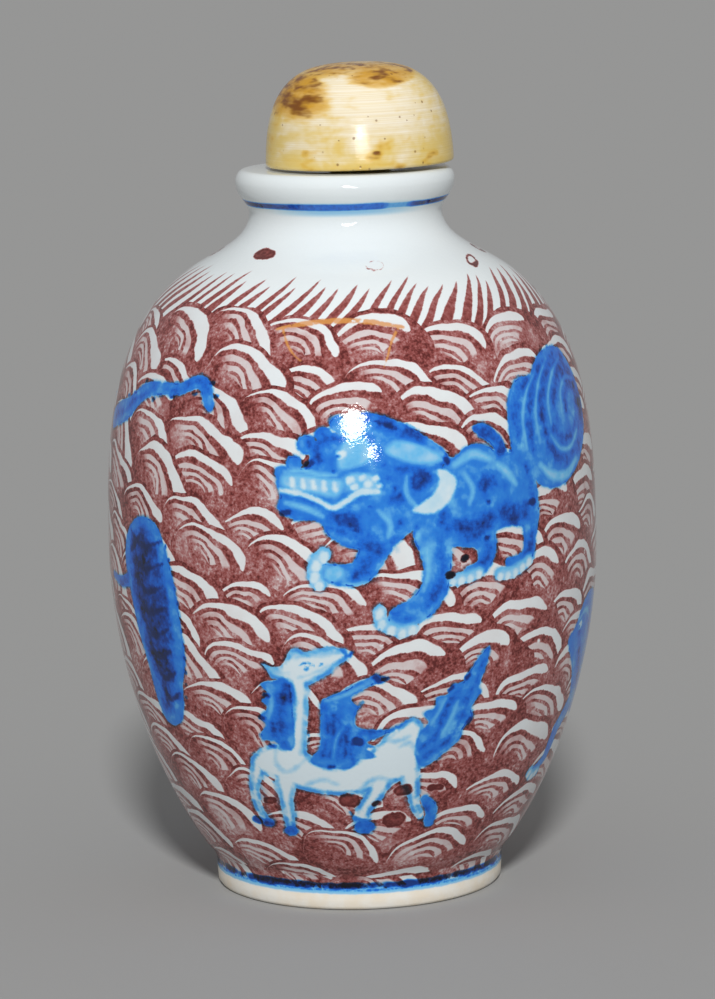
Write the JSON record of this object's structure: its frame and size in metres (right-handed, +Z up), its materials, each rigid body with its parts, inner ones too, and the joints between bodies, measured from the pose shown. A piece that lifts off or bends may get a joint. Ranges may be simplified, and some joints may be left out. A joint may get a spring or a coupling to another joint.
{
  "type": "snuff bottle",
  "caption": "Hollow ovoid porcelain snuff bottle with a rounded lip and foot ring, painted with mythical animals over waves, and a domed bone stopper.",
  "frame": {"origin": "middle of the foot, on the ground", "axes": "+Z up along the bottle's axis, -Y towards the painted front"},
  "size_m": [0.046, 0.046, 0.0775],
  "materials": {
    "painted_porcelain": "glossy clear glaze over white porcelain painted in brownish red and blue, bare unglazed foot ring",
    "aged_bone": "turned and polished bone, ivory coloured, with brown stains and fine turning lines"
  },
  "bodies": {
    "root": {"bottle": "painted_porcelain", "stopper": "aged_bone"}
  },
  "joints": []
}
